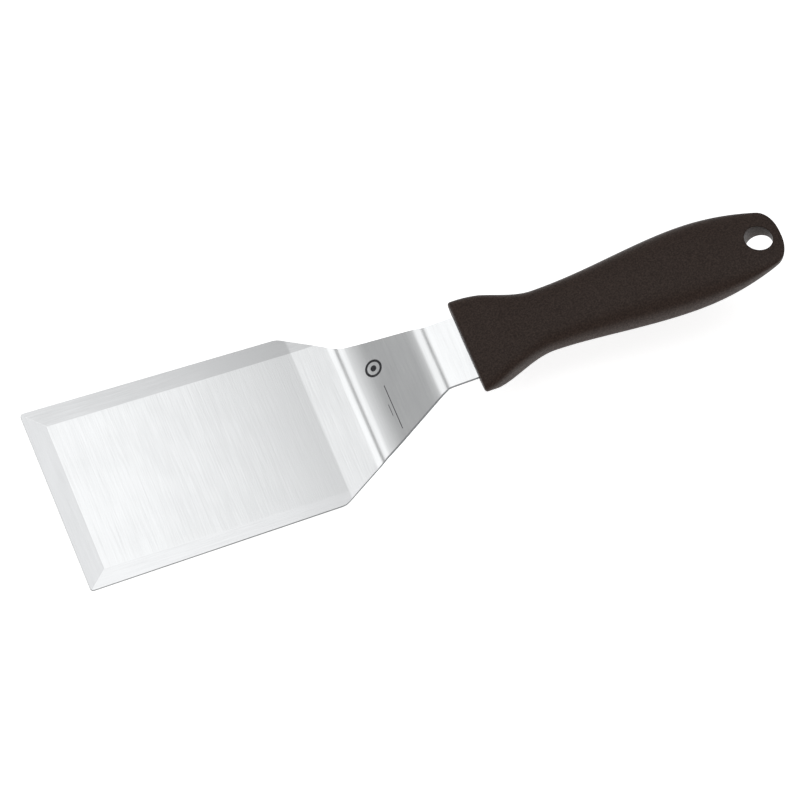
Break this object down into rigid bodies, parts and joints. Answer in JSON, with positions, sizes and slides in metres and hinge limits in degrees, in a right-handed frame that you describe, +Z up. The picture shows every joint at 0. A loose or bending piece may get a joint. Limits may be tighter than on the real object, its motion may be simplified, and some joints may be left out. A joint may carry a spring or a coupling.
{
  "type": "grill spatula",
  "caption": "Grill spatula: wide steel blade with bevelled edges, cranked up to a narrow neck, in a moulded dark plastic handle with a flared front and a hanging hole.",
  "frame": {"origin": "under the middle of the tool's length and width, on the plane that the blade lies on", "axes": "+X along the tool from the blade's front edge towards the handle's butt, +Y to the left seen from the blade's front edge looking along +X, +Z up from the blade's flat underside"},
  "size_m": [0.3, 0.085, 0.0343],
  "materials": {
    "steel": "fine brushed stainless steel, ground bright on the blade",
    "plastic": "dark brown-black moulded polypropylene with a fine grain"
  },
  "bodies": {
    "root": {"steel_pressing": "steel", "handle": "plastic"}
  },
  "joints": []
}
